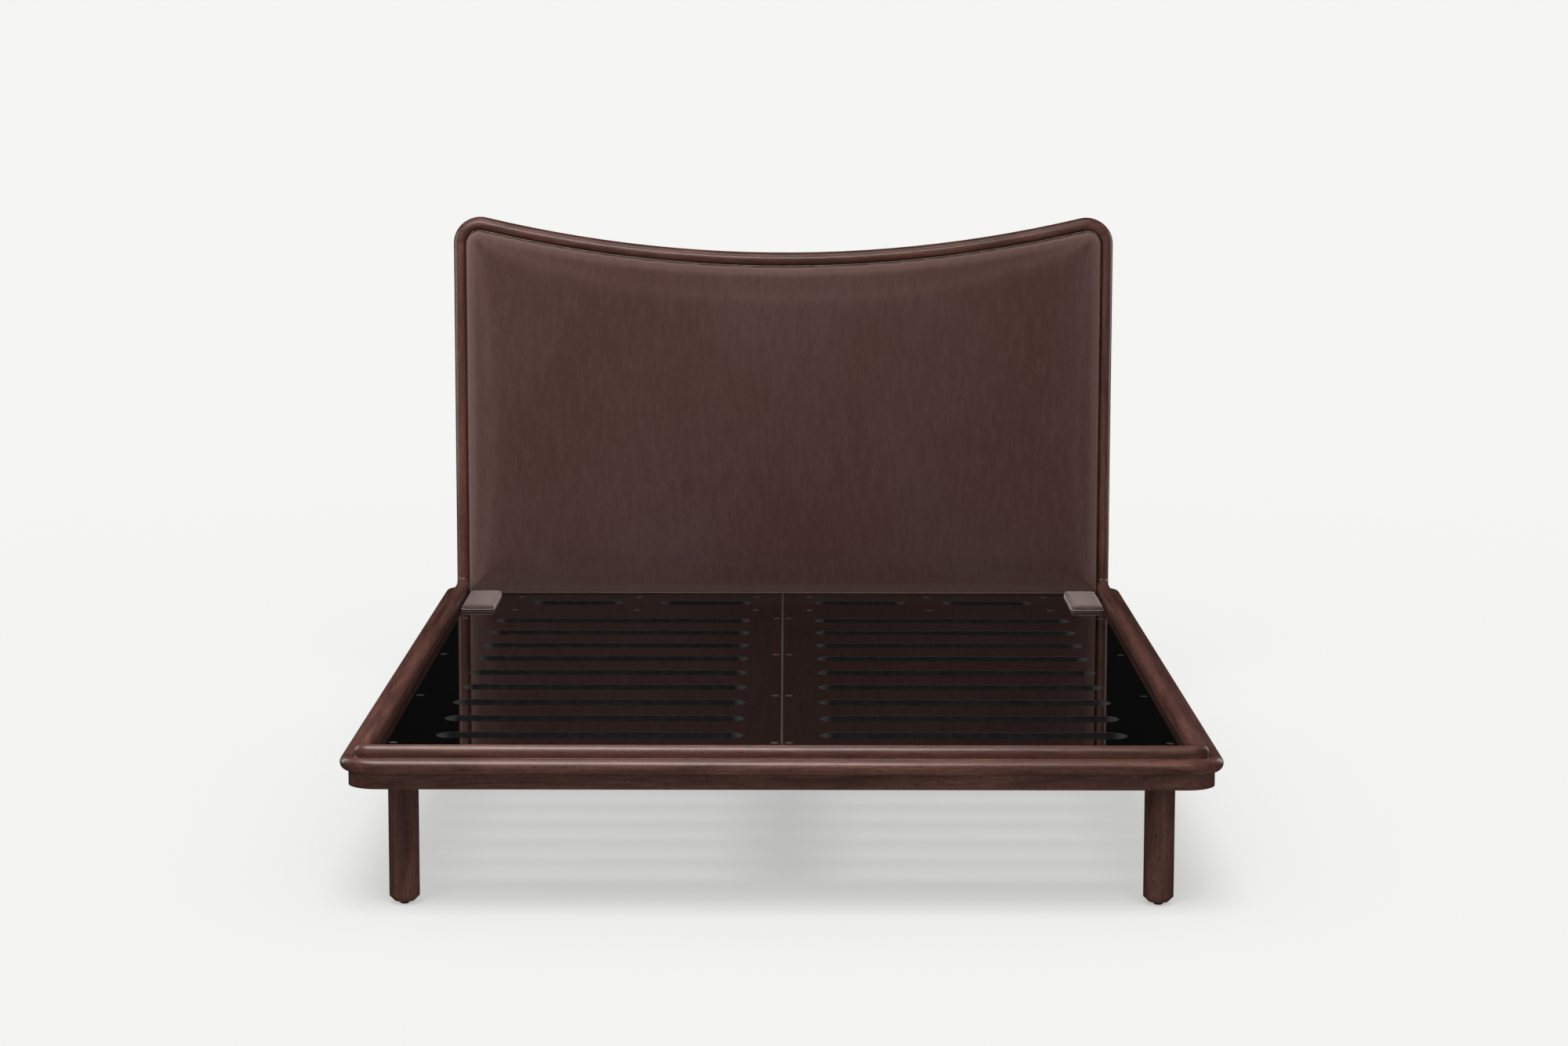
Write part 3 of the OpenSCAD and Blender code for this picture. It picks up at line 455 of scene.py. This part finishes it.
welt_velvet = velvet("welt_velvet", (0.20, 0.15, 0.14), (0.26, 0.20, 0.185), (0.32, 0.25, 0.235),
                     (0.85, 0.76, 0.72))


def paint(material, *names):
    """Gives CAD nodes a material."""
    for name in names:
        for material_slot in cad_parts[name].material_slots:
            material_slot.material = material


def sides(*names):
    """The left and right node of each name."""
    return [f"{name}_{side}" for name in names for side in SIDES]


paint(walnut_by_axis["x"], "foot_rail", "head_rail", "foot_bead", "crest_rail",
      *sides("foot_corner", "head_corner", "headboard_corner"))
paint(walnut_by_axis["y"], *sides("side_rail", "side_bead"))
paint(walnut_by_axis["z"], *sides("headboard_post", "leg_foot", "leg_head"), "centre_leg")
paint(veneer, "headboard_back_panel")
paint(beech, "corner_dowels", "headboard_dowels", "headboard_bottom_rail", "headboard_middle_rail")
paint(plywood, "headboard_pad_board")
paint(dark_lacquer, *sides("deck"))
paint(stained_x, "foot_cleat", "cross_rail_front", "cross_rail_rear", "leg_blocks")
paint(stained_y, *sides("side_cleat"), "centre_beams")
paint(black_steel, *sides("bracket"), "back_panel_screws")
paint(zinc, "pad_screws", "headboard_bolts", "bracket_screws", "cleat_screws", "angle_brackets",
      "leg_block_bolts", "leg_bolts")
paint(nickel, "deck_bolts")
paint(brass, "deck_bolt_inserts", "leg_inserts", "glide_inserts")
paint(brown_nylon, *sides("glide_foot", "glide_head"), "glide_centre")


# ---- Upholstery ----

WELD_DISTANCE = 1e-6
CLOTH_FRAMES = 20
CLOTH_PRESSURE = 4.0
TINY_MOVE = 1e-9

HEAD_VOXEL = 0.006
HEAD_SMOOTHING = 4
HEAD_CAP = 0.0022
# How deep behind its front the cushion is free, and over how much more it comes to be held
HEAD_FREE_DEPTH = 0.006
HEAD_GRIP_DEPTH = 0.010
# How far back the crown reaches, and the width and depth of each of its curves
CROWNED_DEPTH = 0.008
CROWN_CURVES = ((0.100, 0.007), (0.026, 0.007))
# How far in front of the foam's back the wrap starts
WRAP_OVERLAP = 0.002

PAD_CORNER = 0.012
PAD_INSET = 0.0020
PAD_LIFT = 0.0003
PAD_TOP_DROP = 0.0015
PAD_VOXEL = 0.0025
PAD_SMOOTHING = 5
PAD_HELD_HEIGHT = 0.003
PAD_CAP = 0.002
CORNER_STEPS = 6
WELT_RADIUS = 0.0014
WELT_LIFT = 0.0004
WELT_SIDES = 8


def solid_copy(name, node):
    """A new object with the welded mesh of a CAD node."""
    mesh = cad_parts[node].data.copy()
    mesh.name = name
    mesh.materials.clear()
    copy = bpy.data.objects.new(name, mesh)
    scene.collection.objects.link(copy)
    shape = bmesh.new()
    shape.from_mesh(mesh)
    bmesh.ops.remove_doubles(shape, verts=shape.verts, dist=WELD_DISTANCE)
    shape.to_mesh(mesh)
    shape.free()
    return copy


def apply_modifiers(piece):
    """Replaces the piece's mesh with what its modifiers make of it."""
    evaluated = piece.evaluated_get(bpy.context.evaluated_depsgraph_get())
    mesh = bpy.data.meshes.new_from_object(evaluated)
    piece.modifiers.clear()
    piece.data = mesh


def remesh(piece, voxel, smoothing):
    """Gives the piece an even mesh, with its edges eased by some rounds of smoothing."""
    modifier = piece.modifiers.new("remesh", "REMESH")
    modifier.mode = "VOXEL"
    modifier.voxel_size = voxel
    soften = piece.modifiers.new("soften", "SMOOTH")
    soften.factor = 0.5
    soften.iterations = smoothing
    apply_modifiers(piece)


def inflate(piece, held, cap):
    """Swells the piece as cloth over foam; held(point) is how firmly a point stays, cap the furthest move."""
    before = [v.co.copy() for v in piece.data.vertices]
    group = piece.vertex_groups.new(name="held")
    for i, point in enumerate(before):
        group.add([i], held(point), "REPLACE")
    cloth = piece.modifiers.new("cloth", "CLOTH")
    cloth.settings.use_pressure = True
    cloth.settings.uniform_pressure_force = CLOTH_PRESSURE
    cloth.settings.vertex_group_mass = "held"
    cloth.settings.tension_stiffness = 40
    cloth.settings.bending_stiffness = 2.0
    cloth.settings.effector_weights.gravity = 0
    cloth.point_cache.frame_start, cloth.point_cache.frame_end = 1, CLOTH_FRAMES
    for step in range(1, CLOTH_FRAMES + 1):
        scene.frame_set(step)
    apply_modifiers(piece)
    scene.frame_set(1)
    for vertex, start in zip(piece.data.vertices, before):
        move = vertex.co - start
        if move.length > TINY_MOVE:
            vertex.co = start + move * (cap * math.tanh(move.length / cap) / move.length)


def smooth_shaded(piece):
    for polygon in piece.data.polygons:
        polygon.use_smooth = True


def soften_mesh(piece):
    """One round of subdivision and smooth shading."""
    subdivide = piece.modifiers.new("subdivide", "SUBSURF")
    subdivide.levels = subdivide.render_levels = 1
    apply_modifiers(piece)
    smooth_shaded(piece)


def dress(piece, material):
    """Gives a padded piece its material and says what it is."""
    piece.data.materials.clear()
    piece.data.materials.append(material)
    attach(piece, BODY)


def crown(piece, front, *curves):
    """Lets the front of a cushion fall back towards its rim.

    Each curve has the width of its band along the rim and its depth at the rim.
    """
    rim = [v.co.copy() for v in piece.data.vertices if abs(v.normal.y) < 0.5]
    tree = KDTree(len(rim))
    for i, point in enumerate(rim):
        tree.insert((point.x, 0, point.z), i)
    tree.balance()
    for vertex in piece.data.vertices:
        if vertex.co.y < front:
            distance = tree.find((vertex.co.x, 0, vertex.co.z))[2]
            vertex.co.y += sum(depth * max(0.0, 1 - distance / width) ** 2 for width, depth in curves)


def headboard_cushion():
    """Velvet cushion of the headboard: the foam's outline, eased edges and a crowned front."""
    low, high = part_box("headboard_foam")
    outer_low, outer_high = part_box("headboard_cover")
    piece = solid_copy("headboard_cushion", "headboard_foam")
    start_front = low.y
    for vertex in piece.data.vertices:
        p = vertex.co
        p.x = outer_low.x + (p.x - low.x) / (high.x - low.x) * (outer_high.x - outer_low.x)
        p.z = outer_low.z + (p.z - low.z) / (high.z - low.z) * (outer_high.z - outer_low.z)
        p.y = start_front if p.y < (low.y + high.y) / 2 else high.y
    remesh(piece, HEAD_VOXEL, HEAD_SMOOTHING)
    crown(piece, start_front + CROWNED_DEPTH, *CROWN_CURVES)
    def held(p):
        return max(0.0, min(1.0, (p.y - start_front - HEAD_FREE_DEPTH) / HEAD_GRIP_DEPTH))
    inflate(piece, held, HEAD_CAP)
    soften_mesh(piece)
    dress(piece, head_velvet)
    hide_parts("headboard_foam", "headboard_cover")


def headboard_wrap():
    """Velvet that goes on from the cushion round the edge of the board behind it."""
    piece = solid_copy("headboard_wrap", "headboard_cover")
    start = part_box("headboard_foam")[1].y - WRAP_OVERLAP
    shape = bmesh.new()
    shape.from_mesh(piece.data)
    cut = bmesh.ops.bisect_plane(shape, geom=shape.verts[:] + shape.edges[:] + shape.faces[:],
                                 plane_co=(0, start, 0), plane_no=(0, 1, 0), clear_inner=True)
    rim = [e for e in cut["geom_cut"] if isinstance(e, bmesh.types.BMEdge)]
    bmesh.ops.triangle_fill(shape, use_beauty=True, edges=rim)
    bmesh.ops.recalc_face_normals(shape, faces=shape.faces)
    shape.to_mesh(piece.data)
    shape.free()
    piece.data.materials.append(head_velvet)
    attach(piece, BODY)


def rounded_outline(low, high):
    """Points round a pad with round corners, a little inside its box, counter-clockwise."""
    points = []
    reach = PAD_CORNER + PAD_INSET
    corners = ((high.x, high.y), (low.x, high.y), (low.x, low.y), (high.x, low.y))
    for corner, (x, y) in enumerate(corners):
        centre = Vector((x + (reach if x == low.x else -reach), y + (reach if y == low.y else -reach)))
        for step in range(CORNER_STEPS + 1):
            angle = math.pi / 2 * (corner + step / CORNER_STEPS)
            points.append(centre + PAD_CORNER * Vector((math.cos(angle), math.sin(angle))))
    return points


def tube_ring(points, height, radius):
    """The mesh of a closed tube along points at a height."""
    shape = bmesh.new()
    rings = []
    for i, point in enumerate(points):
        run = points[(i + 1) % len(points)] - points[i - 1]
        outward = Vector((run.y, -run.x)).normalized()
        ring = []
        for k in range(WELT_SIDES):
            angle = 2 * math.pi * k / WELT_SIDES
            flat = point + outward * (radius * math.cos(angle))
            ring.append(shape.verts.new((flat.x, flat.y, height + radius * math.sin(angle))))
        rings.append(ring)
    for ring, following in zip(rings, rings[1:] + rings[:1]):
        for k in range(WELT_SIDES):
            after = (k + 1) % WELT_SIDES
            shape.faces.new((ring[k], following[k], following[after], ring[after]))
    bmesh.ops.recalc_face_normals(shape, faces=shape.faces)
    return shape


def new_piece(name, shape):
    """A new object with a finished bmesh."""
    mesh = bpy.data.meshes.new(name)
    shape.to_mesh(mesh)
    shape.free()
    piece = bpy.data.objects.new(name, mesh)
    scene.collection.objects.link(piece)
    return piece


def bracket_cushion(side):
    """Small velvet pad over a bracket's foot, with a welt round its lower edge."""
    node = "bracket_cover_" + side
    low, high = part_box(node)
    outline = rounded_outline(low, high)
    shape = bmesh.new()
    base = [shape.verts.new((p.x, p.y, low.z + PAD_LIFT)) for p in outline]
    lifted = bmesh.ops.extrude_face_region(shape, geom=[shape.faces.new(base)])
    for element in lifted["geom"]:
        if isinstance(element, bmesh.types.BMVert):
            element.co.z = high.z - PAD_TOP_DROP
    bmesh.ops.recalc_face_normals(shape, faces=shape.faces)
    piece = new_piece("bracket_cushion_" + side, shape)
    remesh(piece, PAD_VOXEL, PAD_SMOOTHING)
    inflate(piece, lambda p: 1.0 if p.z < low.z + PAD_HELD_HEIGHT else 0.0, PAD_CAP)
    soften_mesh(piece)
    dress(piece, pad_velvet)
    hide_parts(node, "bracket_foams")
    piping = new_piece("bracket_welt_" + side,
                       tube_ring(outline, low.z + WELT_RADIUS + WELT_LIFT, WELT_RADIUS))
    smooth_shaded(piping)
    piping.data.materials.append(welt_velvet)
    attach(piping, BODY)


headboard_cushion()
headboard_wrap()
for side in SIDES:
    bracket_cushion(side)
